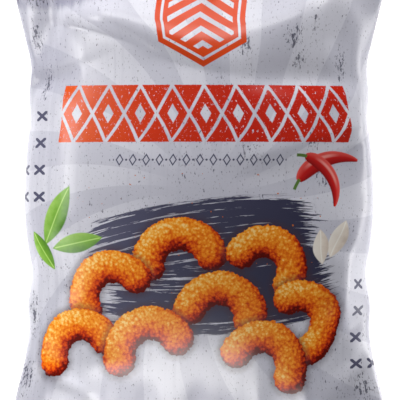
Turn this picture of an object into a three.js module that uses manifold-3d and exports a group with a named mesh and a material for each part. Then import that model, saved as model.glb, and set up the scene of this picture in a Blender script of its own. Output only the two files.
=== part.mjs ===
// A filled pillow pouch of onion-flavoured ring snacks, lying on its back, in millimetres.
// One film tube is closed by a ribbed, saw-cut seal at each end and by a fin seam folded flat down the back.
// +Z is up and +Y points to the pouch's top seal. The origin is under its middle, on the surface it rests on.
import * as THREE from "three";
import { mergeVertices } from "three/addons/utils/BufferGeometryUtils.js";
import Module from "manifold-3d";

// the film tube and its seals
const flatWidth = 200; // across the tube pressed flat, which is the width of the end seals
const packLength = 276; // between the two cut edges of the filled pouch
const sealHeight = 12; // of each end seal, along Y
const sealThickness = 0.8; // the two films welded together
const ribCount = 5; // ribs pressed across each end seal
const ribDepth = 0.45;
const toothPitch = 4; // the saw-cut edge
const toothDepth = 1.6;
const seamWidth = 13; // the fin seam, folded over to +X
const seamThickness = 0.6;
const seamRoot = 8; // how deep the seam's strip reaches into the body, so that the two join all along
const seamInset = 2; // from the cut edges to the ends of the seam's strip

// the filled body
const sealPlane = 26; // height of the welded edges over the resting surface, at the middle
const sealDroop = 3; // how much lower the end seals hang
const crown = 31; // how far the front swells above the seal plane
const belly = 31; // how far the back would swell below it, were it not pressed flat
const pressRadius = 3; // rounding where the pressed back leaves the resting surface
const swellPower = 0.72; // how fast the swelling grows from the end seals
const roundPower = 0.5; // the middle section's flank, as an ellipse
const sharpPower = 1.05; // the same by the end seals, where the flank runs to an edge
const markGain = 4; // creases and gathers reach full depth at a quarter of the swelling
const creaseEnd = 0.35; // how much of its depth a crease has at its two ends

// the mesh
const columns = 34;
const bodyRows = 38;
const seamColumns = 2;
const arcSamples = 120; // steps that measure the length of film across one section
const outlineSamples = 400;
const mergeDistance = 1e-4;

const halfLength = packLength / 2;
const halfBody = halfLength - sealHeight;

// Half-widths of the outline, from the bottom seal to the top one.
// Two waists have a fuller belly between them.
const outline = new THREE.SplineCurve(
  [
    [-halfLength, flatWidth / 2],
    [-halfBody, flatWidth / 2],
    [-105, 96.3],
    [-84, 91.2],
    [-68, 88.9],
    [-55, 89.4],
    [-38, 87.1],
    [-21, 89.7],
    [0, 91.2],
    [24, 89.9],
    [42, 88.2],
    [55, 88.6],
    [70, 87.8],
    [84, 90.7],
    [105, 95.8],
    [halfBody, flatWidth / 2],
    [halfLength, flatWidth / 2],
  ].map(([y, halfWidth]) => new THREE.Vector2(y, halfWidth)),
);
const outlinePoints = outline.getPoints(outlineSamples);

// Creases pressed into a face, or raised where the depth is negative.
// Each fades out along its length and to both sides.
const frontCreases = [
  { from: [-76, 97], to: [-8, 71], width: 6, depth: 1.9 }, // below the roll at the top left
  { from: [-62, 101], to: [2, 84], width: 10, depth: -1.6 }, // the roll itself
  { from: [-92, 66], to: [-68, 70], width: 5, depth: 2.2 }, // waist, upper left
  { from: [-66, 80], to: [-60, 76], width: 8, depth: -1 },
  { from: [44, 62], to: [92, 64], width: 5, depth: 2.4 }, // waist, upper right
  { from: [66, 71], to: [76, 70], width: 7, depth: -1 },
  { from: [58, 92], to: [84, 84], width: 12, depth: 1.8 },
  { from: [24, 21], to: [92, 37], width: 6, depth: 2.2 }, // long diagonal on the right
  { from: [50, 12], to: [88, 24], width: 8, depth: -0.8 },
  { from: [64, -22], to: [74, -27], width: 8, depth: 1.2 },
  { from: [-70, -20], to: [-36, -5], width: 7, depth: 1.3 },
  { from: [-92, -53], to: [-62, -44], width: 4.5, depth: 2.2 }, // waist, lower left
  { from: [-88, -50], to: [-80, -70], width: 5, depth: 1.2 },
  { from: [92, -36], to: [70, -55], width: 6, depth: 2.2 }, // waist, lower right
  { from: [-92, -80], to: [-50, -103], width: 4.5, depth: 1.3 },
  { from: [92, -78], to: [66, -92], width: 7, depth: 1.8 },
  { from: [-40, -92], to: [20, -96], width: 10, depth: 1 },
];
const backCreases = [
  { from: [-92, 60], to: [-46, 74], width: 6, depth: 2.2 },
  { from: [92, 70], to: [50, 58], width: 6, depth: 2.2 },
  { from: [-70, 96], to: [-18, 80], width: 7, depth: 1.6 },
  { from: [20, 92], to: [74, 100], width: 8, depth: 1.6 },
  { from: [-92, -34], to: [-58, -50], width: 6, depth: 2.2 },
  { from: [92, -40], to: [60, -46], width: 5, depth: 2.2 },
  { from: [-80, -84], to: [-30, -94], width: 7, depth: 1.6 },
  { from: [30, -96], to: [82, -82], width: 7, depth: 1.6 },
];

// Gathers that run out of each end seal into the swelling.
const gathers = [
  { wavelength: 23, height: 0.7, phase: 0.6 },
  { wavelength: 37, height: 0.9, phase: 2.1 },
];
const gatherReach = 22;

const clamp01 = (t) => Math.min(1, Math.max(0, t));
const smoothstep = (t) => clamp01(t) ** 2 * (3 - 2 * clamp01(t));

// The larger of two values, rounded over a distance and exact beyond it.
function smoothMax(a, b, radius) {
  const h = clamp01(0.5 + (a - b) / (2 * radius));
  return b + (a - b) * h + radius * h * (1 - h);
}

function halfWidthAt(y) {
  const after = Math.max(1, outlinePoints.findIndex((p) => p.x >= y));
  const [p, q] = [outlinePoints[after - 1], outlinePoints[after]];
  const width = p.y + ((q.y - p.y) * (y - p.x)) / (q.x - p.x);
  return Math.min(flatWidth / 2, width);
}

const seamHeightAt = (y) => sealPlane - sealDroop * (y / halfLength) ** 2;

// How much of its full swelling a point of the face has: 1 in the middle, 0 at the seals and at the flanks.
function swellAt(x, y) {
  const along = clamp01(Math.abs(y) / halfBody);
  const across = clamp01(Math.abs(x) / halfWidthAt(y));
  const power = roundPower + (sharpPower - roundPower) * along ** 3;
  return (1 - along ** 2) ** swellPower * (1 - across ** 2) ** power;
}

function creaseAt(x, y, creases) {
  let sum = 0;
  for (const { from, to, width, depth } of creases) {
    const [dx, dy] = [to[0] - from[0], to[1] - from[1]];
    const length2 = dx * dx + dy * dy;
    const t = clamp01(((x - from[0]) * dx + (y - from[1]) * dy) / length2);
    const away = Math.hypot(x - from[0] - t * dx, y - from[1] - t * dy);
    sum += depth * Math.exp(-((away / width) ** 2)) * (creaseEnd + (1 - creaseEnd) * Math.sin(Math.PI * t));
  }
  return sum;
}

function gatherAt(x, y) {
  const fromSeal = (halfBody - Math.abs(y)) / gatherReach;
  if (fromSeal <= 0) return 0;
  const strength = smoothstep(3 * fromSeal) * Math.exp(-(fromSeal ** 2));
  const turn = Math.sign(y);
  return gathers.reduce(
    (sum, { wavelength, height, phase }) =>
      sum + strength * height * Math.sin((2 * Math.PI * x) / wavelength + turn * phase),
    0,
  );
}

// Ribs across an end seal, as a zigzag in Z along Y.
function ribAt(y) {
  const into = ((Math.abs(y) - halfBody) / sealHeight) * ribCount;
  if (into <= 0) return 0;
  return ribDepth * (1 - 2 * Math.abs((into % 1) - 0.5));
}

function frontHeight(x, y) {
  const swell = swellAt(x, y);
  const marks = (gatherAt(x, y) - creaseAt(x, y, frontCreases)) * smoothstep(markGain * swell);
  return seamHeightAt(y) + sealThickness / 2 + ribAt(y) + crown * swell + marks;
}

function backHeight(x, y) {
  const swell = swellAt(x, y);
  const marks = (gatherAt(-x, y) - creaseAt(x, y, backCreases)) * smoothstep(markGain * swell);
  const free = seamHeightAt(y) - sealThickness / 2 + ribAt(y) - belly * swell - marks;
  return smoothMax(free, seamThickness, pressRadius);
}

// Stations across the pouch at one y, equal lengths of film apart.
function stationsAt(y, height) {
  const halfWidth = halfWidthAt(y);
  const samples = [{ x: -halfWidth, length: 0 }];
  let z = height(-halfWidth, y);
  for (let i = 1; i <= arcSamples; i++) {
    const x = -halfWidth * Math.cos((Math.PI * i) / arcSamples);
    const next = height(x, y);
    const last = samples[i - 1];
    samples.push({ x, length: last.length + Math.hypot(x - last.x, next - z) });
    z = next;
  }
  const total = samples[arcSamples].length;
  return Array.from({ length: columns + 1 }, (_, i) => {
    const wanted = (total * i) / columns;
    const after = Math.max(1, samples.findIndex((s) => s.length >= wanted - 1e-9));
    const [p, q] = [samples[after - 1], samples[after]];
    return p.x + ((q.x - p.x) * (wanted - p.length)) / (q.length - p.length);
  });
}

// Y stations: even along the body, and one at each crest and root of the ribs.
function lengthStations() {
  const body = Array.from({ length: bodyRows + 1 }, (_, i) => halfBody * ((2 * i) / bodyRows - 1));
  const ribStep = sealHeight / (2 * ribCount);
  const ribs = Array.from({ length: 2 * ribCount }, (_, i) => halfBody + ribStep * (i + 1));
  return [...ribs.map((y) => -y).reverse(), ...body, ...ribs];
}

// A closed skin through rings of points, with the first and last rings capped between their two halves.
function skin(rings) {
  const around = rings[0].length;
  const positions = rings.flat(2);
  const faces = [];
  const quad = (a, b, c, d) => faces.push(a, b, c, a, c, d);
  for (let j = 0; j + 1 < rings.length; j++)
    for (let k = 0; k < around; k++) {
      const next = (k + 1) % around;
      quad(j * around + k, j * around + next, (j + 1) * around + next, (j + 1) * around + k);
    }
  const last = (rings.length - 1) * around;
  for (let k = 0; k + 1 < around / 2; k++) {
    quad(k, around - 1 - k, around - 2 - k, k + 1);
    quad(last + k, last + k + 1, last + around - 2 - k, last + around - 1 - k);
  }
  const geometry = new THREE.BufferGeometry();
  geometry.setAttribute("position", new THREE.Float32BufferAttribute(positions, 3));
  geometry.setIndex(faces);
  return geometry;
}

function pouchBody() {
  const rings = lengthStations().map((y) => {
    const front = stationsAt(y, frontHeight).map((x) => [x, y, frontHeight(x, y)]);
    const back = stationsAt(y, backHeight).map((x) => [x, y, backHeight(x, y)]);
    return [...front, ...back.reverse()];
  });
  return skin(rings);
}

// The fin seam: a strip on the back, its inner face sunk into the film and its outer face down.
function finSeam() {
  const sunk = (x, y) => seamThickness / 2 + seamRoot * swellAt(x, y);
  const across = Array.from({ length: seamColumns + 1 }, (_, i) => (seamWidth * i) / seamColumns);
  const rings = lengthStations().map((station) => {
    const y = Math.sign(station) * Math.min(Math.abs(station), halfLength - seamInset);
    const inner = across.map((x) => [x, y, backHeight(x, y) + sunk(x, y)]);
    const outer = across.map((x) => [x, y, Math.max(0, backHeight(x, y) - seamThickness)]);
    return [...inner, ...outer.reverse()];
  });
  return skin(rings);
}

// What the saw edge takes away beyond one end seal.
function sawCutter(end) {
  const count = Math.round(flatWidth / toothPitch);
  const shape = new THREE.Shape();
  shape.moveTo(-flatWidth / 2 - toothPitch, halfLength + toothPitch);
  shape.lineTo(-flatWidth / 2 - toothPitch, halfLength - toothDepth);
  for (let i = 0; i < count; i++) {
    const x = -flatWidth / 2 + toothPitch * i;
    shape.lineTo(x, halfLength - toothDepth);
    shape.lineTo(x + toothPitch / 2, halfLength);
  }
  shape.lineTo(flatWidth / 2, halfLength - toothDepth);
  shape.lineTo(flatWidth / 2 + toothPitch, halfLength - toothDepth);
  shape.lineTo(flatWidth / 2 + toothPitch, halfLength + toothPitch);
  const geometry = new THREE.ExtrudeGeometry(shape, { depth: sealPlane, bevelEnabled: false });
  geometry.translate(0, 0, sealPlane / 2);
  if (end < 0) geometry.rotateZ(Math.PI);
  return geometry;
}

const wasm = await Module();
wasm.setup();

function toSolid(geometry) {
  geometry.deleteAttribute("normal");
  geometry.deleteAttribute("uv");
  const merged = mergeVertices(geometry, mergeDistance);
  return new wasm.Manifold(
    new wasm.Mesh({
      numProp: 3,
      vertProperties: merged.attributes.position.array,
      triVerts: new Uint32Array(merged.index.array),
    }),
  );
}

function toGeometry(solid) {
  const mesh = solid.getMesh();
  const geometry = new THREE.BufferGeometry();
  geometry.setAttribute("position", new THREE.BufferAttribute(new Float32Array(mesh.vertProperties), 3));
  geometry.setIndex(new THREE.BufferAttribute(new Uint32Array(mesh.triVerts), 1));
  geometry.computeVertexNormals();
  return geometry;
}

const printedFilm = new THREE.MeshStandardMaterial({ color: "#c6c6d0", roughness: 0.42, metalness: 0 });

const pouchSolid = toSolid(pouchBody())
  .add(toSolid(finSeam()))
  .subtract(toSolid(sawCutter(1)))
  .subtract(toSolid(sawCutter(-1)));

const pouch = new THREE.Mesh(toGeometry(pouchSolid), printedFilm);
pouch.name = "snack_pouch";

const model = new THREE.Group();
model.add(pouch);

export default model;
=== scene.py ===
# A filled pillow pouch of fried ring snacks, lying on its back on a pale floor.
import math

import bmesh
import bpy
import numpy as np
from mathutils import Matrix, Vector


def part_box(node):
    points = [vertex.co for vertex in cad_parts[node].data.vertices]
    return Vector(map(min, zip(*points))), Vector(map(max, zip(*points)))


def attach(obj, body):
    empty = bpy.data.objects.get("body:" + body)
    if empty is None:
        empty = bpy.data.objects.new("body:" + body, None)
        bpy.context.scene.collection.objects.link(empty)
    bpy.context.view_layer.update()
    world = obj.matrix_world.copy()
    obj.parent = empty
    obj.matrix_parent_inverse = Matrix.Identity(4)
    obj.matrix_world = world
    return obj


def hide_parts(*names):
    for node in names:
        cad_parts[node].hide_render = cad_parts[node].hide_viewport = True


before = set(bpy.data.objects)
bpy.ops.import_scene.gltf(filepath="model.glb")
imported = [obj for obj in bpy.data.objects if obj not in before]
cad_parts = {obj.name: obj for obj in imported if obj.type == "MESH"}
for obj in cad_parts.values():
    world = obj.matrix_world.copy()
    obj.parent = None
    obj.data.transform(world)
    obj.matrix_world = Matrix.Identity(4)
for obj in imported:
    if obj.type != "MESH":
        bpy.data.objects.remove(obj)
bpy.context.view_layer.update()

cadLow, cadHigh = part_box("snack_pouch")
flatWidth = cadHigh.x - cadLow.x
halfLength = (cadHigh.y - cadLow.y) / 2
filmRound = 2 * flatWidth  # film once round the tube
mm = 0.001


# camera, floor and light

view = {
    "height": 1.124,  # of the lens over the floor
    "outlineHeight": 0.024,  # where the pouch is widest
    "aside": 0.0005,
    "seenWidth": 0.2094,  # across the frame at that height
    "sensor": 36.0,
}

# where each light stands: degrees round from +X, degrees over the floor, metres off, width, height, power
softboxes = {
    "mirrored": [  # they only show as highlights on the film
        ("topBox", 97, 44, 1.2, 0.9, 0.34, 4.4),
        ("topStrip", 97, 25, 1.2, 0.9, 0.3, 2.0),
        ("leftBox", 174, 42, 1.2, 0.8, 0.4, 4.8),
        ("rightBox", 0, 7, 1.2, 0.9, 0.35, 5.0),
        ("lowBox", 262, 48, 1.2, 0.7, 0.3, 6.0),
    ],
    "soft": [  # and these only light it
        ("topFill", 90, 7, 1.2, 0.9, 0.2, 11.6),
        ("leftFill", 146, 42, 0.42, 0.3, 0.15, 1.17),
        ("lowFill", 246, 7, 0.34, 0.3, 0.03, 1.12),
        ("rightFill", 0, 3, 1.2, 0.9, 0.2, 9.2),
        ("edgeFill", -26, 4, 0.3, 0.12, 0.04, 0.17),
    ],
    "warmth": (1.0, 0.99, 0.965),
    "aimedAt": (0, 0, 0.03),
    "sky": 0.2,
    "skyColour": (0.93, 0.94, 1.0, 1.0),
}

backdrop = {
    "halfWidth": 3.0,
    "colour": (0.5, 0.5, 0.5, 1.0),
    "roughness": 0.9,
    "glow": 0.95,  # so that it shows as plain white
    "glowColour": (1.0, 1.0, 1.0, 1.0),
}


def aimAt(thing, target):
    thing.rotation_euler = (Vector(target) - thing.location).to_track_quat("-Z", "Y").to_euler()


def setCamera():
    camera = bpy.data.cameras.new("camera")
    camera.sensor_width = view["sensor"]
    camera.lens = view["sensor"] * (view["height"] - view["outlineHeight"]) / view["seenWidth"]
    holder = bpy.data.objects.new("camera", camera)
    holder.location = (view["aside"], 0, view["height"])  # unturned, so it looks straight down with +Y up
    bpy.context.scene.collection.objects.link(holder)
    bpy.context.scene.camera = holder


def setLights():
    for kind in ("mirrored", "soft"):
        for name, round_, over, away, wide, high, power in softboxes[kind]:
            light = bpy.data.lights.new(name, "AREA")
            light.shape = "RECTANGLE"
            light.size, light.size_y = wide, high
            light.energy = power
            light.color = softboxes["warmth"]
            holder = bpy.data.objects.new(name, light)
            turn, rise = math.radians(round_), math.radians(over)
            way = Vector((math.cos(rise) * math.cos(turn), math.cos(rise) * math.sin(turn), math.sin(rise)))
            holder.location = way * away
            holder.visible_glossy = kind == "mirrored"
            holder.visible_diffuse = kind == "soft"
            holder.visible_camera = False
            aimAt(holder, softboxes["aimedAt"])
            bpy.context.scene.collection.objects.link(holder)
    world = bpy.data.worlds.new("studio")
    world.use_nodes = True
    sky = world.node_tree.nodes["Background"]
    sky.inputs["Color"].default_value = softboxes["skyColour"]
    sky.inputs["Strength"].default_value = softboxes["sky"]
    world.cycles_visibility.glossy = False  # so that the ink stays deep between the highlights
    bpy.context.scene.world = world
    bpy.context.scene.view_settings.view_transform = "Standard"
    print("lights:", sum(len(softboxes[kind]) for kind in ("mirrored", "soft")), "boxes and the sky")


def makeFloor():
    bm = bmesh.new()
    bmesh.ops.create_grid(bm, x_segments=1, y_segments=1, size=backdrop["halfWidth"])
    floor = finishPiece("floor", bm)
    paper = bpy.data.materials.new("floorPaper")
    paper.use_nodes = True
    shader = paper.node_tree.nodes["Principled BSDF"]
    shader.inputs["Base Color"].default_value = backdrop["colour"]
    shader.inputs["Roughness"].default_value = backdrop["roughness"]
    shader.inputs["Emission Color"].default_value = backdrop["glowColour"]
    shader.inputs["Emission Strength"].default_value = backdrop["glow"]
    floor.data.materials.append(paper)


def finishPiece(name, bm):
    mesh = bpy.data.meshes.new(name)
    bm.to_mesh(mesh)
    bm.free()
    piece = bpy.data.objects.new(name, mesh)
    bpy.context.scene.collection.objects.link(piece)
    return piece


# the shape of the filled film

film = {
    "columns": 400,  # round the tube
    "bodyRows": 180,
    "sealRows": 25,  # in each end seal
    "sealHeight": 12 * mm,
    "sealThickness": 0.8 * mm,
    "ribCount": 5,
    "ribDepth": 0.45 * mm,
    "toothPitch": 4 * mm,
    "toothDepth": 1.6 * mm,
    "sealPlane": 26 * mm,
    "sealDroop": 3 * mm,
    "crown": 31 * mm,
    "belly": 31 * mm,
    "pressRadius": 3 * mm,
    "pressHeight": 0.6 * mm,  # the fin seam's thickness, which the back lies on
    "swellPower": 0.72,
    "roundPower": 0.5,
    "sharpPower": 1.05,
    "sharpening": 3,  # how late towards the ends the round power turns into the sharp one
    "markGain": 4,  # how soon from the flanks and seals the folds reach their full height
    "pathSamples": 160,  # round each face, when its length is measured
    "mergeWithin": 2e-6,
}

# [y, half-width] in mm from the bottom seal to the top one: two waists with a fuller belly between
outline = [
    (-138, 100), (-126, 100), (-105, 96.3), (-84, 91.2), (-68, 88.9), (-55, 89.4), (-38, 87.1),
    (-21, 89.7), (0, 91.2), (24, 89.9), (42, 88.2), (55, 88.6), (70, 87.8), (84, 90.7),
    (105, 95.8), (126, 100), (138, 100),
]

foldLook = {
    "steps": 8,  # of the curve between two points of a path
    "reach": 3,  # widths from the path, beyond which a fold is nothing
    "fade": 1.5,  # the power by which it dies out towards both ends
    "tuck": 2.2,  # the power by which a tucked side rounds over
}

# Folds along a path of [x, y] in mm. Each rises by its height on the path and falls away over the
# distances to the left and to the right of the way the path runs. A negative height is a valley. A tucked
# fold rounds over to its right and ends there in a crease.
frontFolds = [
    # the roll at the top left, steep below, and the hollow under it
    {"path": [(-100, 110), (-82, 106.5), (-62, 103), (-35, 94.5), (-15, 86), (14, 78), (44, 76)],
     "height": 4.8, "left": 18, "right": 13, "tucked": True},
    {"path": [(-78, 99.5), (-72, 99), (-65, 97.9), (-58, 96.2), (-50, 94), (-41, 90.7), (-31, 86), (-20, 81)],
     "height": 4.8, "left": 16, "right": 7.5, "tucked": True},
    {"path": [(-76, 90), (-54, 88), (-34, 84), (-14, 79), (10, 75)], "height": 2.6, "left": 22, "right": 24},
    {"path": [(-70, 122), (-68, 108), (-64, 98), (-58, 88)], "height": -2.2, "left": 7, "right": 4},
    {"path": [(-78, 63), (-62, 69), (-42, 76)], "height": -0.7, "left": 2.5, "right": 4},
    # top left corner
    {"path": [(-68, 124), (-74, 104), (-77, 88), (-77, 66)], "height": -3.2, "left": 5, "right": 9},
    # upper waist, left and right
    {"path": [(-116, 60), (-90, 61), (-76, 63), (-60, 67)], "height": -4.0, "left": 5.5, "right": 8},
    {"path": [(-86, 94), (-84, 80), (-82, 66)], "height": -1.2, "left": 7, "right": 5},
    {"path": [(-72, 96), (-61, 80), (-56, 64)], "height": 1.8, "left": 10, "right": 8},
    {"path": [(14, 60), (34, 63), (58, 63), (80, 62), (112, 64)], "height": -2.7, "left": 8, "right": 7},
    # the shoulder down the right side
    {"path": [(80, 122), (84, 98), (83, 68), (88, 34), (89, 10), (87, -14), (81, -40), (75, -100)],
     "height": 2.2, "left": 7, "right": 12},
    # the flat at the top right, above which the film dips to the seal
    {"path": [(-8, 86), (16, 86), (38, 90), (58, 98), (78, 108), (106, 120), (134, 132)], "height": 6.0,
     "left": 11, "right": 17},
    # the long slanting fold on the right
    {"path": [(8, 19), (32, 23.5), (50, 28), (64, 32.6), (78, 37.4), (94, 43), (108, 48), (124, 54)],
     "height": 3.0, "left": 22, "right": 8, "tucked": True},
    {"path": [(6, 11), (28, 14.5), (44, 18.3), (58, 22.2), (70, 26), (86, 31), (100, 36), (116, 42)],
     "height": -2.2, "left": 3.5, "right": 18},
    {"path": [(68, 84), (69, 66), (70, 46)], "height": 1.3, "left": 6, "right": 6},
    {"path": [(92, 58), (87, 44), (86, 32), (88, 18), (92, 4)], "height": 2.4, "left": 5, "right": 9},
    # the left panel
    {"path": [(-72, 62), (-68, 24), (-66, -22)], "height": 1.4, "left": 16, "right": 7},
    {"path": [(-80, -22), (-54, -14), (-24, -2)], "height": -1.5, "left": 7, "right": 11},
    {"path": [(-88, 46), (-83, 12), (-84, -20)], "height": -0.9, "left": 6, "right": 5},
    # lower waist, left and right
    {"path": [(-100, -57), (-80, -51), (-60, -44)], "height": -1.2, "left": 5, "right": 6},
    {"path": [(-86, -46), (-83, -60), (-84, -76)], "height": -1.0, "left": 6, "right": 5},
    {"path": [(98, -38), (80, -26), (60, -20)], "height": -1.5, "left": 6, "right": 6},
    {"path": [(92, 18), (84, 2), (70, -6)], "height": -1.0, "left": 7, "right": 6},
    {"path": [(86, -6), (78, -24), (75, -44), (74, -64), (80, -90)], "height": 3.4, "left": 6, "right": 8},
    {"path": [(92, -54), (76, -68), (66, -92)], "height": -1.7, "left": 7, "right": 8},
    # towards the bottom seal
    {"path": [(-98, -74), (-76, -91), (-48, -104)], "height": -1.2, "left": 4, "right": 4},
    {"path": [(-92, -96), (-60, -86), (-20, -92)], "height": 1.0, "left": 9, "right": 9},
    {"path": [(100, -82), (80, -92), (60, -106)], "height": -2.2, "left": 7, "right": 8},
]
backFolds = [
    {"path": [(-92, 60), (-70, 66), (-46, 74)], "height": -2.2, "left": 6, "right": 6},
    {"path": [(92, 70), (70, 63), (50, 58)], "height": -2.2, "left": 6, "right": 6},
    {"path": [(-70, 98), (-44, 90), (-18, 80)], "height": -1.8, "left": 7, "right": 9},
    {"path": [(20, 92), (46, 98), (74, 102)], "height": -1.8, "left": 8, "right": 6},
    {"path": [(-92, -34), (-76, -40), (-58, -50)], "height": -2.2, "left": 6, "right": 6},
    {"path": [(92, -40), (76, -44), (60, -46)], "height": -2.2, "left": 5, "right": 5},
    {"path": [(-80, -84), (-56, -90), (-30, -94)], "height": -1.6, "left": 7, "right": 7},
    {"path": [(30, -96), (56, -90), (82, -82)], "height": -1.6, "left": 7, "right": 7},
]

gathers = {
    "waves": [(13, 0.4, 1.1), (23, 0.9, 0.6), (37, 1.1, 2.1)],  # wavelength and height in mm, phase
    "reach": 22 * mm,  # from each seal
    "onset": 3,  # how steeply they start there
}

halfBody = halfLength - film["sealHeight"]


def clamp01(t):
    return np.clip(t, 0.0, 1.0)


def smoothStep(t):
    t = clamp01(t)
    return t * t * (3 - 2 * t)


def smoothMax(a, b, radius):
    h = clamp01(0.5 + (a - b) / (2 * radius))
    return b + (a - b) * h + radius * h * (1 - h)


def curveThrough(points, steps):
    # a Catmull-Rom curve, its two ends repeated
    knots = np.array([points[0], *points, points[-1]], float)
    t = np.linspace(0, 1, steps, endpoint=False)[:, None]
    parts = []
    for a, b, c, d in zip(knots, knots[1:], knots[2:], knots[3:]):
        slopeIn, slopeOut = (c - a) / 2, (d - b) / 2
        parts.append(
            (2 * b - 2 * c + slopeIn + slopeOut) * t**3
            + (-3 * b + 3 * c - 2 * slopeIn - slopeOut) * t**2
            + slopeIn * t
            + b
        )
    return np.vstack([*parts, knots[-1]])


outlineCurve = curveThrough(outline, steps=24) * mm


def halfWidthAt(y):
    return np.minimum(flatWidth / 2, np.interp(y, outlineCurve[:, 0], outlineCurve[:, 1]))


def sealHeightAt(y):
    return film["sealPlane"] - film["sealDroop"] * (y / halfLength) ** 2


def swellAt(x, y):
    along = clamp01(np.abs(y) / halfBody)
    across = clamp01(np.abs(x) / halfWidthAt(y))
    power = film["roundPower"] + (film["sharpPower"] - film["roundPower"]) * along ** film["sharpening"]
    return (1 - along**2) ** film["swellPower"] * (1 - across**2) ** power


def foldsAt(x, y, folds):
    total = np.zeros_like(x)
    for fold in folds:
        line = curveThrough(fold["path"], foldLook["steps"]) * mm
        reach = foldLook["reach"] * max(fold["left"], fold["right"]) * mm
        near = (
            (x > line[:, 0].min() - reach) & (x < line[:, 0].max() + reach)
            & (y > line[:, 1].min() - reach) & (y < line[:, 1].max() + reach)
        )
        if not near.any():
            continue
        start, step = line[:-1], np.diff(line, axis=0)
        fromX = x[near][:, None] - start[:, 0]
        fromY = y[near][:, None] - start[:, 1]
        share = clamp01((fromX * step[:, 0] + fromY * step[:, 1]) / (step**2).sum(axis=1))
        apart = np.hypot(fromX - share * step[:, 0], fromY - share * step[:, 1])
        nearest = apart.argmin(axis=1)
        rows = np.arange(len(nearest))
        dx, dy = fromX[rows, nearest], fromY[rows, nearest]
        side = (step[nearest, 0] * dy - step[nearest, 1] * dx) / np.linalg.norm(step[nearest], axis=1)
        toLeft = smoothStep(side / (fold["left"] + fold["right"]) / mm + 0.5)
        width = (fold["right"] + (fold["left"] - fold["right"]) * toLeft) * mm
        along = (nearest + share[rows, nearest]) / len(step)
        fade = np.sin(math.pi * along) ** foldLook["fade"]
        out = apart[rows, nearest] / width
        profile = np.exp(-(out**2))
        if fold.get("tucked"):
            profile = np.where(side < 0, 1 - clamp01(out) ** foldLook["tuck"], profile)
        total[near] += fold["height"] * mm * profile * fade
    return total


def gatherAt(x, y):
    fromSeal = np.maximum(0, (halfBody - np.abs(y)) / gathers["reach"])
    strength = smoothStep(gathers["onset"] * fromSeal) * np.exp(-(fromSeal**2))
    waves = sum(
        height * mm * np.sin(2 * math.pi * x / (wavelength * mm) + np.sign(y) * phase)
        for wavelength, height, phase in gathers["waves"]
    )
    return strength * waves


def ribAt(y):
    into = (np.abs(y) - halfBody) / film["sealHeight"] * film["ribCount"]
    rib = film["ribDepth"] * (1 - 2 * np.abs(into % 1 - 0.5))
    return np.where(into > 0, rib, 0)


def frontHeight(x, y):
    swell = swellAt(x, y)
    marks = (gatherAt(x, y) + foldsAt(x, y, frontFolds)) * smoothStep(film["markGain"] * swell)
    return sealHeightAt(y) + film["sealThickness"] / 2 + ribAt(y) + film["crown"] * swell + marks


def backHeight(x, y):
    swell = swellAt(x, y)
    marks = (gatherAt(-x, y) + foldsAt(x, y, backFolds)) * smoothStep(film["markGain"] * swell)
    free = sealHeightAt(y) - film["sealThickness"] / 2 + ribAt(y) - film["belly"] * swell - marks
    return smoothMax(free, film["pressHeight"], film["pressRadius"])


def stationsAt(y, height, count):
    # x stations across the pouch at each y, equal lengths of film apart
    samples = film["pathSamples"]
    spread = -np.cos(np.pi * np.arange(samples + 1) / samples)
    x = halfWidthAt(y)[:, None] * spread
    z = height(x.ravel(), np.repeat(y, samples + 1)).reshape(x.shape)
    steps = np.hypot(np.diff(x, axis=1), np.diff(z, axis=1))
    length = np.hstack([np.zeros((len(y), 1)), np.cumsum(steps, axis=1)])
    wanted = np.linspace(0, 1, count + 1)
    return np.array([np.interp(wanted * l[-1], l, row) for l, row in zip(length, x)])


def lengthStations():
    body = np.linspace(-halfBody, halfBody, film["bodyRows"] + 1)
    seal = halfBody + film["sealHeight"] * np.arange(1, film["sealRows"] + 1) / film["sealRows"]
    return np.concatenate([-seal[::-1], body, seal])


def makeFilm():
    stations = lengthStations()
    columns, rows = film["columns"], len(stations) - 1
    across = columns // 2  # columns of each face
    bm = bmesh.new()
    bakeMap = bm.loops.layers.uv.new("OFBake")
    bmesh.ops.create_grid(bm, x_segments=columns, y_segments=rows, size=0.5)
    bm.verts.ensure_lookup_table()
    column = np.array([round((v.co.x + 0.5) * columns) for v in bm.verts])
    row = np.array([round((v.co.y + 0.5) * rows) for v in bm.verts])
    share = stations / (2 * halfLength) + 0.5
    for face in bm.faces:
        for loop in face.loops:
            index = loop.vert.index
            loop[bakeMap].uv = (column[index] / columns, share[row[index]])
    print("film: flat sheet of", len(bm.faces), "faces")

    y = stations[row]
    left = column - across // 2  # columns from the left flank, which the front has to its right
    onFront = (left >= 0) & (left <= across)
    onBack = (left <= 0) | (left >= across)
    mirrored = np.where(left > across, 2 * across - left, -left)
    frontX = stationsAt(stations, frontHeight, across)[row, np.clip(left, 0, across)]
    backX = stationsAt(stations, backHeight, across)[row, np.clip(mirrored, 0, across)]
    x = np.where(onFront, frontX, backX)
    z = np.where(onFront, frontHeight(x, y), backHeight(x, y))
    atEnd = np.isin(row, (0, rows))
    joined = (onFront & onBack) | atEnd  # flanks and cut edges, where the two layers meet
    z = np.where(joined, (frontHeight(x, y) + backHeight(x, y)) / 2, z)
    tooth = np.abs((x / film["toothPitch"]) % 1 - 0.5) * 2
    y = y - np.sign(y) * np.where(atEnd, film["toothDepth"] * tooth, 0)
    for vert, *place in zip(bm.verts, x, y, z):
        vert.co = place
    bmesh.ops.remove_doubles(bm, verts=bm.verts, dist=film["mergeWithin"])
    bmesh.ops.recalc_face_normals(bm, faces=bm.faces)
    loose = sum(not e.is_manifold for e in bm.edges)
    print("film: rolled, filled and sealed,", loose, "open edges")
    for face in bm.faces:
        face.smooth = True
    return finishPiece("pouch_film", bm)


# the fin seam down the back

seam = {
    "width": 13 * mm,
    "thickness": 0.5 * mm,
    "columns": 10,
    "foldRound": 1.5 * mm,
    "endInset": 0.5 * mm,
}


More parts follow.
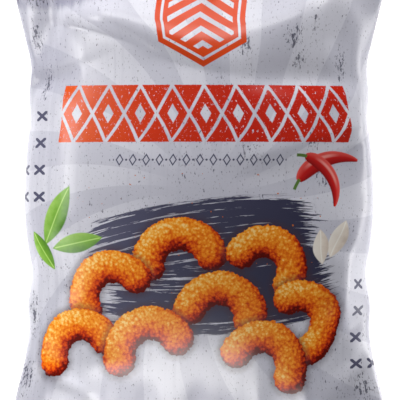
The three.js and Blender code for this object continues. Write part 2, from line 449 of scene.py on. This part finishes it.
def makeSeam():
    stations = np.clip(lengthStations(), -halfLength + seam["endInset"], halfLength - seam["endInset"])
    rows = len(stations) - 1
    bm = bmesh.new()
    bakeMap = bm.loops.layers.uv.new("OFBake")
    bmesh.ops.create_grid(bm, x_segments=seam["columns"], y_segments=rows, size=0.5, calc_uvs=True)
    bm.verts.ensure_lookup_table()
    x = np.array([(v.co.x + 0.5) * seam["width"] for v in bm.verts])
    y = stations[[round((v.co.y + 0.5) * rows) for v in bm.verts]]
    rise = seam["thickness"] * smoothStep(x / seam["foldRound"])  # it folds out of the film at x = 0
    z = np.maximum(0, backHeight(x, y) - rise)
    for vert, *place in zip(bm.verts, x, y, z):
        vert.co = place
    hidden = bmesh.ops.extrude_face_region(bm, geom=bm.faces[:])["geom"]
    hiddenVerts = [v for v in hidden if isinstance(v, bmesh.types.BMVert)]
    bmesh.ops.translate(bm, verts=hiddenVerts, vec=(0, 0, seam["thickness"]))
    bmesh.ops.recalc_face_normals(bm, faces=bm.faces)
    for face in bm.faces:
        face.smooth = True
    print("fin seam:", len(bm.faces), "faces")
    return finishPiece("pouch_fin_seam", bm)


# the print, worked out in mm on the flat film


class Field:
    # a number worked out at every point of the film by Math nodes
    def __init__(self, tree, socket):
        self.tree = tree
        self.socket = socket

    def math(self, operation, *others):
        node = self.tree.nodes.new("ShaderNodeMath")
        node.operation = operation
        for slot, value in zip(node.inputs, (self, *others)):
            feed(self.tree, value, slot)
        return Field(self.tree, node.outputs[0])

    def __add__(self, other):
        return self.math("ADD", other)

    def __radd__(self, other):
        return self.math("ADD", other)

    def __sub__(self, other):
        return self.math("SUBTRACT", other)

    def __rsub__(self, other):
        return self.math("MULTIPLY_ADD", -1.0, other)

    def __mul__(self, other):
        return self.math("MULTIPLY", other)

    def __rmul__(self, other):
        return self.math("MULTIPLY", other)

    def __truediv__(self, other):
        return self.math("DIVIDE", other)

    def __neg__(self):
        return self.math("MULTIPLY", -1.0)

    def __abs__(self):
        return self.math("ABSOLUTE")

    def least(self, other):
        return self.math("MINIMUM", other)

    def most(self, other):
        return self.math("MAXIMUM", other)

    def root(self):
        return self.math("SQRT")

    def sine(self):
        return self.math("SINE")

    def wrapped(self, pitch):
        # -pitch/2 to pitch/2 about each multiple of the pitch
        return self.math("WRAP", pitch / 2, -pitch / 2)

    def between(self, low, high):
        # 0 at low and 1 at high, smoothly
        node = self.tree.nodes.new("ShaderNodeMapRange")
        node.interpolation_type = "SMOOTHSTEP"
        for name, value in (("Value", self), ("From Min", low), ("From Max", high)):
            feed(self.tree, value, node.inputs[name])
        return Field(self.tree, node.outputs["Result"])


def feed(tree, value, slot):
    if isinstance(value, Field):
        tree.links.new(value.socket, slot)
    else:
        slot.default_value = value


def linear(*screenColour):
    # a 0 to 255 screen colour, as light
    return tuple(((c / 255 + 0.055) / 1.055) ** 2.4 if c > 10 else c / 255 / 12.92 for c in screenColour)


class Ink:
    # the colour printed so far, to which layers are added
    def __init__(self, tree, x, y, ground):
        self.tree, self.x, self.y = tree, x, y
        self.socket = None
        self.ground = ground

    def lay(self, cover, colour):
        node = self.tree.nodes.new("ShaderNodeMix")
        node.data_type = "RGBA"
        feed(self.tree, cover, node.inputs["Factor"])
        under, over = node.inputs[6], node.inputs[7]
        if self.socket is None:
            under.default_value = (*linear(*self.ground), 1.0)
        else:
            self.tree.links.new(self.socket, under)
        if isinstance(colour, bpy.types.NodeSocket):
            self.tree.links.new(colour, over)
        else:
            over.default_value = (*linear(*colour), 1.0)
        self.socket = node.outputs[2]


def noiseField(ink, perMmAcross, perMmAlong, detail, rough, seed, x=None, y=None):
    # grain with so many features a mm across and along the film, or on the x and y given
    tree = ink.tree
    place = tree.nodes.new("ShaderNodeCombineXYZ")
    feed(tree, (ink.x if x is None else x) * perMmAcross, place.inputs["X"])
    feed(tree, (ink.y if y is None else y) * perMmAlong, place.inputs["Y"])
    place.inputs["Z"].default_value = seed
    node = tree.nodes.new("ShaderNodeTexNoise")
    node.inputs["Scale"].default_value = 1.0
    node.inputs["Detail"].default_value = detail
    node.inputs["Roughness"].default_value = rough
    tree.links.new(place.outputs["Vector"], node.inputs["Vector"])
    return Field(tree, node.outputs["Fac"])


def cellField(ink, perMm, seed):
    # 0 in the middle of each grain, rising to about 1 between grains
    place = ink.tree.nodes.new("ShaderNodeCombineXYZ")
    feed(ink.tree, ink.x * perMm, place.inputs["X"])
    feed(ink.tree, ink.y * perMm, place.inputs["Y"])
    place.inputs["Z"].default_value = seed
    node = ink.tree.nodes.new("ShaderNodeTexVoronoi")
    node.inputs["Scale"].default_value = 1.0
    ink.tree.links.new(place.outputs["Vector"], node.inputs["Vector"])
    return Field(ink.tree, node.outputs["Distance"])


def turnedFrame(ink, centre, degrees):
    # mm from a centre, along axes turned by so many degrees
    dx, dy = ink.x - centre[0], ink.y - centre[1]
    c, s = math.cos(math.radians(degrees)), math.sin(math.radians(degrees))
    return dx * c + dy * s, dy * c - dx * s


def ramp(ink, value, stops):
    node = ink.tree.nodes.new("ShaderNodeValToRGB")
    feed(ink.tree, value, node.inputs["Fac"])
    elements = node.color_ramp.elements
    while len(elements) < len(stops):
        elements.new(1.0)
    for element, (position, colour) in zip(elements, stops):
        element.position = position
        element.color = (*linear(*colour), 1.0)
    return node.outputs["Color"]


# A grain is given as features a mm across and along the film, detail, roughness and seed.
whitewash = {
    "colour": (190, 190, 202),
    "ray": (205, 205, 215),
    "rayHeart": (2.0, 4.0),
    "rayCount": 14,
    "rayTwist": 0.0035,  # radians a mm out
    "rayEdge": 0.04,
    "rayCover": (8.0, 50.0, 0.95),  # mm out at which they start and are full, and how strongly they cover
    "streak": (160, 160, 176),
    "streakGrain": (0.35, 0.010, 4.0, 0.65, 3.0),
    "streakCover": (0.5, 0.8, 0.32),
    "fleck": (66, 66, 84),
    "patchGrain": (0.085, 0.012, 3.0, 0.6, 11.0),  # where more flecks show
    "patchCover": (0.52, 0.72, 0.11),
    "marks": [  # their grain, the level they show from, how far a patch lowers it, softness and cover
        ((0.62, 0.28, 3.0, 0.6, 7.0), 0.665, 1.15, 0.06, 0.8),
        ((1.1, 0.08, 2.0, 0.6, 23.0), 0.72, 0.7, 0.05, 0.55),
        ((1.3, 0.6, 1.0, 0.5, 17.0), 0.66, 0.6, 0.06, 0.5),
    ],
    # knots in the boards: x, y, width and height in mm
    "knots": [
        (25, 79, 5, 9), (51, 84, 7, 9), (55, 72, 5, 7), (-88, 105, 16, 5),
        (-92, 84, 4, 12), (-86, 60, 4, 12), (78, 70, 4, 12), (64, 14, 6, 12),
        (58, 32, 5, 9), (-93, -60, 4, 16), (-96, -92, 6, 12), (90, -98, 9, 10),
    ],
    "knotCover": 0.15,
}

# Painted shade: a grey veil laid into the print to darken the film. It is a smear at the top left corner and
# a band down the upper left side, part of it following the whitewash streaks.
paintedShade = {
    "colour": (132, 132, 150),
    "cornerShade": {"centre": (-84, 107), "size": (30, 8), "reach": 1.3, "soft": 0.7, "cover": 0.85},
    # the painted shade down the left side: mm out at which it starts and is full, and at which it is gone and
    # still full
    "starts": (56.0, 80.0),
    "ends": (120.0, 100.0),
    "upper": (30.0, 62.0, 0.34),
    "streaks": (0.3, 0.62, 0.14),
}


def showing(field, low, high, cover):
    # no cover where the field is low, and so much where it is high
    return field.between(low, high) * cover


def ovalReach(ink, centre, size):
    # the squared distance from a centre, 1 on the oval with these half-sizes
    dx, dy = (ink.x - centre[0]) / size[0], (ink.y - centre[1]) / size[1]
    return dx * dx + dy * dy


def printGround(ink):
    look = whitewash
    heartX, heartY = look["rayHeart"]
    dx, dy = ink.x - heartX, ink.y - heartY
    out = (dx * dx + dy * dy).root()
    turn = dx.math("ARCTAN2", dy) + out * look["rayTwist"]
    rays = (turn * look["rayCount"]).sine().between(-look["rayEdge"], look["rayEdge"])
    ink.lay(rays * showing(out, *look["rayCover"]), look["ray"])
    streaks = noiseField(ink, *look["streakGrain"])
    ink.lay(showing(streaks, *look["streakCover"]), look["streak"])
    # painted shade over the ground, at the top left corner and down the upper left side
    printPaintedShade(ink, streaks)
    patches = showing(noiseField(ink, *look["patchGrain"]), *look["patchCover"])
    for knotX, knotY, wide, tall in look["knots"]:
        inKnot = (1.0 - ovalReach(ink, (knotX, knotY), (wide, tall))).most(0.0)
        patches = patches.most(inKnot * look["knotCover"])
    for grain, level, lowered, soft, cover in look["marks"]:
        mark = noiseField(ink, *grain) - level + patches * lowered
        ink.lay(showing(mark, 0.0, soft, cover), look["fleck"])


def printPaintedShade(ink, streaks):
    # a darker veil painted in as shade: a smear at the top left corner, then a band down the upper left side,
    # stronger along the streaks
    cornerShade = paintedShade["cornerShade"]
    inCornerShade = cornerShade["reach"] - ovalReach(ink, cornerShade["centre"], cornerShade["size"]).root() + (streaks - 0.5)
    ink.lay(showing(inCornerShade, 0.0, cornerShade["soft"], cornerShade["cover"]), paintedShade["colour"])
    side = (-ink.x).between(*paintedShade["starts"]) * (-ink.x).between(*paintedShade["ends"])
    ink.lay(side * showing(ink.y, *paintedShade["upper"]), paintedShade["colour"])
    ink.lay(side * showing(streaks, *paintedShade["streaks"]), paintedShade["colour"])


def within(field, reach, soft=0.2):
    # 1 where the field is no further from 0 than the reach, with a soft edge
    return abs(field).between(reach + soft, reach - soft)


badge = {
    "centre": (2, 95.5),
    "halfWidth": 23.5,
    "halfHeight": 27.5,
    "slope": 0.55,
    "line": (23.4, 0.8),  # a hexagon left bare: its place from the middle and half its width
    "field": 19.8,  # the chevrons fill it
    "chevrons": (7.6, 1.5, 0.62),  # pitch, half-width and slope
    "colour": (202, 66, 22),
}


def printBadge(ink):
    dx, dy = abs(ink.x - badge["centre"][0]), ink.y - badge["centre"][1]
    out = (abs(dy) + dx * badge["slope"]).most(dx * (badge["halfHeight"] / badge["halfWidth"]))
    place, half = badge["line"]
    pitch, stroke, slope = badge["chevrons"]
    bare = within((dy + dx * slope).wrapped(pitch), stroke) * within(out, badge["field"])
    bare = bare.most(within(out - place, half))
    ink.lay(within(out, badge["halfHeight"]) * (1.0 - bare), badge["colour"])


band = {
    "centre": (1.8, 44.2),
    "halfLength": 75.8,
    "halfHeight": 14.6,
    "soft": 0.15,
    "lozenges": 9,
    "gap": (0.11, 0.02),  # left bare along each lozenge, and how softly, as shares of it
    "eye": (0.34, 0.02),
    "roughGrain": (1.1, 1.1, 2.0, 0.6, 21.0),
    "rough": (0.066, 0.66, 0.44),  # of the lozenges, as a share, and of the ends and the long sides, in mm
    "wornGrain": (0.8, 0.5, 4.0, 0.7, 27.0),
    "worn": (0.64, 0.61),
    "toneSpan": 150.0,
    "tones": [(0.06, (212, 80, 22)), (0.3, (198, 52, 20)), (0.62, (184, 34, 16))],  # from left to right
}


def printBand(ink):
    dx, ty = ink.x - band["centre"][0], abs(ink.y - band["centre"][1])
    rough = noiseField(ink, *band["roughGrain"]) - 0.5
    atLozenge, atEnd, atSide = (rough * amount for amount in band["rough"])
    pitch = 2 * band["halfLength"] / band["lozenges"]
    out = abs(dx.wrapped(pitch)) / (pitch / 2) + ty / band["halfHeight"] + atLozenge
    bare = within(out - 1.0, *band["gap"]).most(within(out, *band["eye"]))
    inLength = within(dx + atEnd, band["halfLength"], band["soft"])
    inHeight = within(ty + atSide, band["halfHeight"], band["soft"])
    worn = noiseField(ink, *band["wornGrain"]).between(*band["worn"])
    ink.lay(inLength * inHeight * (1.0 - bare) * worn, ramp(ink, dx / band["toneSpan"] + 0.5, band["tones"]))


slate = (80, 80, 102)
tiny = 0.01  # mm, so that nothing is divided by 0

rule = {
    "centreY": 20.5,
    "reach": 44.0,
    "pitch": 6.77,
    "lozenge": (2.1, 3.3),
    "outline": (0.8, 0.17, 0.05),  # its place, half its width and its softness, as shares of the lozenge
    "dot": (0.55, 0.15),
}


def printRule(ink):
    inRow = within(ink.x, rule["reach"])
    ty = ink.y - rule["centreY"]
    out = abs(ink.x.wrapped(rule["pitch"])) / rule["lozenge"][0] + abs(ty) / rule["lozenge"][1]
    place, half, soft = rule["outline"]
    ink.lay(within(out - place, half, soft) * inRow, slate)
    between = (ink.x - rule["pitch"] / 2).wrapped(rule["pitch"])
    ink.lay(within((between * between + ty * ty).root(), *rule["dot"]) * inRow, slate)


crosses = {
    "pitch": 13.9,
    "arm": 2.6,
    "stroke": 0.72,
    "soft": 0.12,
    "squeeze": 0.7,  # they are drawn wide, because the film turns down there
    # x and y of the top one, how many, and how far each stands to the right of the one above
    "columns": [(-86.8, 43.4, 4, 0.75), (-96.5, 15.5, 2, 0.75), (87.8, -43.4, 4, 0), (98.5, -85.0, 1, 0)],
}


def printCrosses(ink):
    pitch = crosses["pitch"]
    for topX, topY, count, shift in crosses["columns"]:
        inColumn = within(ink.y - topY + pitch * (count - 1) / 2, pitch * count / 2)
        dx = abs(ink.x - topX + (ink.y - topY) * (shift / pitch)) * crosses["squeeze"]
        dy = abs((ink.y - topY).wrapped(pitch))
        strokes = within((dx - dy) * math.sqrt(0.5), crosses["stroke"], crosses["soft"])
        ends = within(dx.most(dy), crosses["arm"], crosses["soft"])
        ink.lay(strokes * ends * inColumn, slate)


brush = {
    "strokes": [
        {"centre": (-2, -17), "turn": 8, "halfLength": 76, "halfWidth": 17, "bow": 0.0016, "seed": 31},
        {"centre": (6, -50), "turn": 4, "halfLength": 80, "halfWidth": 19, "bow": -0.0014, "seed": 37},
    ],
    # grains without their seed, along and across the stroke, and the share of each
    "bristles": (0.014, 0.42, 3.0, 0.55),
    "bristleShare": 0.6,
    "grit": (0.07, 1.1, 3.0, 0.65),
    "gritShare": 0.4,
    "level": 0.4,  # from which ink shows
    "loaded": 0.07,  # how much lower that is at the right end
    "dry": (0.5, 1.05, 0.3),  # and how much higher towards both ends
    "dryRagged": 0.5,
    "thin": (0.6, 1.0, 0.06),  # and towards both sides
    "soft": 0.03,
    "sideEdge": (1.02, 0.98),
    "sideRagged": 0.35,
    "endEdge": (1.12, 1.04),
    "toneSpan": 150.0,
    "tones": [(0.15, (82, 82, 104)), (0.85, (54, 54, 76))],
}


def printBrush(ink):
    tone = ramp(ink, ink.x / brush["toneSpan"] + 0.5, brush["tones"])
    for stroke in brush["strokes"]:
        along, across = turnedFrame(ink, stroke["centre"], stroke["turn"])
        across = across + along * along * stroke["bow"]
        bristles = noiseField(ink, *brush["bristles"], stroke["seed"], x=along, y=across)
        grit = noiseField(ink, *brush["grit"], stroke["seed"] + 2, x=along, y=across)
        end = along / stroke["halfLength"]  # -1 and 1 at the two ends
        side = abs(across) / stroke["halfWidth"]
        level = brush["level"] - end * brush["loaded"] + showing(side, *brush["thin"])
        level = level + showing(abs(end + (bristles - 0.5) * brush["dryRagged"]), *brush["dry"])
        inked = bristles * brush["bristleShare"] + grit * brush["gritShare"] - level
        edges = (side + (grit - 0.5) * brush["sideRagged"]).between(*brush["sideEdge"])
        edges = edges * abs(end).between(*brush["endEdge"])
        ink.lay(inked.between(0.0, brush["soft"]) * edges, tone)


puffs = [
    {"centre": (-10, -34), "radius": 17, "sweep": 78, "turn": 10, "tube": 8.4},
    {"centre": (33, -36), "radius": 15, "sweep": 86, "turn": -34, "tube": 8.2},
    {"centre": (-46, -50), "radius": 16, "sweep": 82, "turn": 34, "tube": 8.4},
    {"centre": (53, -64), "radius": 15, "sweep": 88, "turn": -62, "tube": 8.2},
    {"centre": (10, -62), "radius": 17, "sweep": 78, "turn": -12, "tube": 8.8},
    {"centre": (-64, -80), "radius": 16, "sweep": 80, "turn": 22, "tube": 8.4},
    {"centre": (-26, -80), "radius": 17, "sweep": 78, "turn": 20, "tube": 8.8},
    {"centre": (34, -86), "radius": 16, "sweep": 86, "turn": -26, "tube": 8.6},
]

crust = {
    "raggedGrain": (0.4, 0.4, 3.0, 0.6, 45.0),
    "ragged": 3.4,
    "soft": 0.15,
    "light": (-0.35, 0.6, 0.72),
    "lightShare": 0.8,
    "crumbs": (0.62, 43.0),  # how many a mm, and their seed
    "crumbTop": 0.75,
    "crumbShare": 0.42,
    "gritGrain": (0.5, 0.5, 4.0, 0.7, 41.0),
    "gritShare": 1.2,
    "darker": 0.02,
    "tones": [
        (0.0, (92, 14, 6)), (0.16, (156, 30, 8)), (0.36, (206, 66, 8)),
        (0.56, (232, 112, 12)), (0.76, (243, 152, 36)), (0.9, (248, 182, 78)), (1.0, (252, 210, 132)),
    ],
    "shadow": (74, 52, 58),
    "shadowCover": (4.5, -1.0, 0.55),  # mm out from the puff's edge
}


def arcFrame(ink, arc):
    # how far each point is from the middle of a bent bar, and which way it lies from there
    lx, ly = turnedFrame(ink, arc["centre"], arc["turn"])
    sweep = math.radians(arc["sweep"])
    endX, endY = arc["radius"] * math.sin(sweep), arc["radius"] * math.cos(sweep)
    sideX = abs(lx)
    out = (lx * lx + ly * ly).root().most(tiny)
    past = (sideX * math.cos(sweep) - ly * math.sin(sweep)).math("GREATER_THAN", 0.0)
    middleX = sideX / out * arc["radius"]
    middleY = ly / out * arc["radius"]
    awayX = sideX - (middleX + (endX - middleX) * past)
    awayY = ly - (middleY + (endY - middleY) * past)
    away = (awayX * awayX + awayY * awayY).root()
    awayX = awayX * lx.math("SIGN")
    c, s = math.cos(math.radians(arc["turn"])), math.sin(math.radians(arc["turn"]))
    return away, awayX * c - awayY * s, awayX * s + awayY * c


def printPuffs(ink):
    grit = (noiseField(ink, *crust["gritGrain"]) - 0.5) * crust["gritShare"]
    crumbs = (crust["crumbTop"] - cellField(ink, *crust["crumbs"])) * crust["crumbShare"]
    ragged = (noiseField(ink, *crust["raggedGrain"]) - 0.5) * crust["ragged"]
    lightX, lightY, lightZ = crust["light"]
    for puff in puffs:
        away, awayX, awayY = arcFrame(ink, puff)
        away = away + ragged
        ink.lay(showing(away - puff["tube"], *crust["shadowCover"]), crust["shadow"])
        steep = (away / puff["tube"]).most(0.0).least(1.0)
        facing = (1.0 - steep * steep).root()
        lit = (awayX * lightX + awayY * lightY) / puff["tube"] + facing * lightZ
        tone = lit * crust["lightShare"] + crumbs + grit - crust["darker"]
        ink.lay(within(away, puff["tube"], crust["soft"]), ramp(ink, tone, crust["tones"]))


leafTones = [(0.2, (56, 104, 34)), (0.55, (112, 162, 52)), (0.95, (168, 204, 108))]
cloveTones = [(0.2, (190, 172, 158)), (0.5, (222, 212, 200)), (0.9, (236, 232, 224))]
ovals = [  # pointed at both ends
    {"centre": (-74, -8), "turn": 62, "long": 17, "wide": 5.6, "tones": leafTones},
    {"centre": (-64, -22), "turn": 12, "long": 14, "wide": 4.8, "tones": leafTones},
    {"centre": (-84, -26), "turn": 118, "long": 11, "wide": 4.2, "tones": leafTones},
    {"centre": (72, -20), "turn": 70, "long": 10, "wide": 4.6, "tones": cloveTones},
    {"centre": (63, -24), "turn": 100, "long": 9, "wide": 4.2, "tones": cloveTones},
]

ovalLook = {
    "edge": (1.1, 0.95),
    "vein": 0.3,
    "veinEnd": (0.95, 0.8),
    "mottleGrain": (0.3, 0.3, 2.0, 0.5, 51.0),
    "mottle": 0.3,
    "middleTone": 0.38,
    "sideTone": 0.25,  # how much lighter one side is
}


def printOvals(ink):
    mottle = noiseField(ink, *ovalLook["mottleGrain"]) * ovalLook["mottle"]
    for oval in ovals:
        lx, ly = turnedFrame(ink, oval["centre"], oval["turn"])
        along, across = lx / oval["long"], ly / oval["wide"]
        side = abs(across) + along * along
        tone = across * ovalLook["sideTone"] + ovalLook["middleTone"] + mottle
        ink.lay(side.between(*ovalLook["edge"]), ramp(ink, tone, oval["tones"]))
        ink.lay(within(ly, ovalLook["vein"]) * side.between(*ovalLook["veinEnd"]), oval["tones"][-1][1])


chillies = {
    "items": [
        {"centre": (73, -5), "radius": 27, "turn": 18, "sweep": 40, "thick": 5.4},
        {"centre": (50, 3), "radius": 20, "turn": -60, "sweep": 50, "thick": 4.6},
    ],
    "taper": (0.72, 0.28),  # the share of its thickness in the middle, and how much less at the tip
    "soft": 0.08,
    "ends": (0.97, 0.01),
    "sideTone": 0.4,
    "tones": [(0.1, (128, 16, 18)), (0.5, (192, 30, 28)), (0.95, (226, 92, 84))],
    "gleam": {
        "colour": (240, 172, 162), "side": 0.35, "across": (0.2, 0.15),
        "back": 0.1, "along": (0.4, 0.2), "cover": 0.6,
    },
    "stem": {"colour": (84, 116, 52), "half": 0.8, "back": 1.08, "along": (0.16, 0.02)},
}


def printChillies(ink):
    gleam, stem = chillies["gleam"], chillies["stem"]
    middle, lessAtTip = chillies["taper"]
    for pod in chillies["items"]:
        lx, ly = turnedFrame(ink, pod["centre"], pod["turn"])
        out = (lx * lx + ly * ly).root() - pod["radius"]
        along = lx.math("ARCTAN2", ly) / math.radians(pod["sweep"])  # -1 and 1 at the two ends
        thick = (1.0 - along * along).most(0.0).root() * (middle - along * lessAtTip) * pod["thick"]
        side = out / thick.most(tiny)
        tone = ramp(ink, side * chillies["sideTone"] + 0.5, chillies["tones"])
        ink.lay(within(side, 1.0, chillies["soft"]) * within(along, *chillies["ends"]), tone)
        shine = within(side - gleam["side"], *gleam["across"])
        shine = shine * within(along + gleam["back"], *gleam["along"]) * gleam["cover"]
        ink.lay(shine, gleam["colour"])
        ink.lay(within(out, stem["half"]) * within(along + stem["back"], *stem["along"]), stem["colour"])


crumbSpecks = {
    "colour": (196, 104, 40),
    "centre": (0, -20),
    "reach": (84, 40),
    "fade": (1.0, 0.7),
    "grain": (0.42, 0.42, 1.0, 0.5, 61.0),
    "shows": (0.745, 0.76),
}


def printSpecks(ink):
    near = ovalReach(ink, crumbSpecks["centre"], crumbSpecks["reach"]).between(*crumbSpecks["fade"])
    specks = noiseField(ink, *crumbSpecks["grain"]).between(*crumbSpecks["shows"])
    ink.lay(specks * near, crumbSpecks["colour"])


backPanel = {
    "pastFlank": (0.5, 1.0),  # mm at which the back's print starts and is full
    "centre": (150, -12),  # on each half of the back, between a flank and the fin seam
    "halfSize": (31, 68),
    "corner": 7,
    "frame": 0.7,
    "lines": (6.2, 0.45),  # pitch and half-width
    "inset": 7,
    "bar": (12, 9),  # the filled bar at its top: half its height, and its place under the top edge
    "stripe": (96, 4.6),  # across the whole back: its place and half its width
}


def printBack(ink):
    # a framed panel of plain lines under a bar, and stripes near both ends
    look = backPanel
    onBack = (abs(ink.x) - flatWidth / mm / 2).between(*look["pastFlank"])
    halfX, halfY = look["halfSize"]
    dx, dy = abs(abs(ink.x) - look["centre"][0]), ink.y - look["centre"][1]
    cornerX = (dx - (halfX - look["corner"])).most(0.0)
    cornerY = (abs(dy) - (halfY - look["corner"])).most(0.0)
    out = (cornerX * cornerX + cornerY * cornerY).root() - look["corner"]
    frameLine = within(out + look["frame"], look["frame"])
    barHalf, barDown = look["bar"]
    fromBar = dy - (halfY - barDown - barHalf)
    inside = within(dx, halfX - look["inset"])
    bar = within(fromBar, barHalf) * inside
    pitch, half = look["lines"]
    underBar = within(dy + barHalf + barDown, halfY - barHalf - barDown)
    lines = within(dy.wrapped(pitch), half) * inside * underBar
    ink.lay(frameLine.most(lines) * onBack, slate)
    place, half = look["stripe"]
    stripes = within(abs(ink.y) - place, half) * onBack
    ink.lay(stripes.most(bar * onBack), badge["colour"])


def printFilm(ink):
    printGround(ink)
    printBadge(ink)
    printBand(ink)
    printRule(ink)
    printCrosses(ink)
    printBrush(ink)
    printSpecks(ink)
    printPuffs(ink)
    printOvals(ink)
    printChillies(ink)
    printBack(ink)


gloss = {
    "rubbedGrain": (0.06, 0.03, 3.0, 0.6, 71.0),
    "rubbed": (0.35, 0.65, 0.14),
    "roughness": 0.44,  # where it isn't rubbed
    "crinkleGrain": (0.1, 0.05, 3.0, 0.5, 73.0),
    "crinkleStrength": 0.3,
    "crinkleDepth": 0.3 * mm,
    "underCoat": 0.0,  # all the gloss is the coat's
    "coat": 1.0,
    "coatRoughness": 0.22,
    "coatIndex": 1.5,
}


def filmMaterial(name, widthMm, layers):
    material = bpy.data.materials.new(name)
    material.use_nodes = True
    tree = material.node_tree
    shader = tree.nodes["Principled BSDF"]
    uvMap = tree.nodes.new("ShaderNodeUVMap")
    uvMap.uv_map = "OFBake"
    split = tree.nodes.new("ShaderNodeSeparateXYZ")
    tree.links.new(uvMap.outputs["UV"], split.inputs["Vector"])
    u, v = Field(tree, split.outputs["X"]), Field(tree, split.outputs["Y"])
    ink = Ink(tree, (u - 0.5) * widthMm, (v - 0.5) * (2 * halfLength / mm), whitewash["colour"])
    layers(ink)
    tree.links.new(ink.socket, shader.inputs["Base Color"])
    rubbed = showing(noiseField(ink, *gloss["rubbedGrain"]), *gloss["rubbed"])
    feed(tree, rubbed + gloss["roughness"], shader.inputs["Roughness"])
    crinkle = tree.nodes.new("ShaderNodeBump")
    crinkle.inputs["Strength"].default_value = gloss["crinkleStrength"]
    crinkle.inputs["Distance"].default_value = gloss["crinkleDepth"]
    feed(tree, noiseField(ink, *gloss["crinkleGrain"]), crinkle.inputs["Height"])
    tree.links.new(crinkle.outputs["Normal"], shader.inputs["Normal"])
    tree.links.new(crinkle.outputs["Normal"], shader.inputs["Coat Normal"])
    shader.inputs["Specular IOR Level"].default_value = gloss["underCoat"]
    shader.inputs["Coat Weight"].default_value = gloss["coat"]
    shader.inputs["Coat Roughness"].default_value = gloss["coatRoughness"]
    shader.inputs["Coat IOR"].default_value = gloss["coatIndex"]
    print("material:", name, "with", len(tree.nodes), "nodes")
    return material


setCamera()
setLights()
makeFloor()
pouchFilm = makeFilm()
finSeam = makeSeam()
pouchFilm.data.materials.append(filmMaterial("printedFilm", filmRound / mm, printFilm))
finSeam.data.materials.append(filmMaterial("seamFilm", seam["width"] / mm, printGround))
for piece in (pouchFilm, finSeam):
    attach(piece, "root")
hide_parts("snack_pouch")
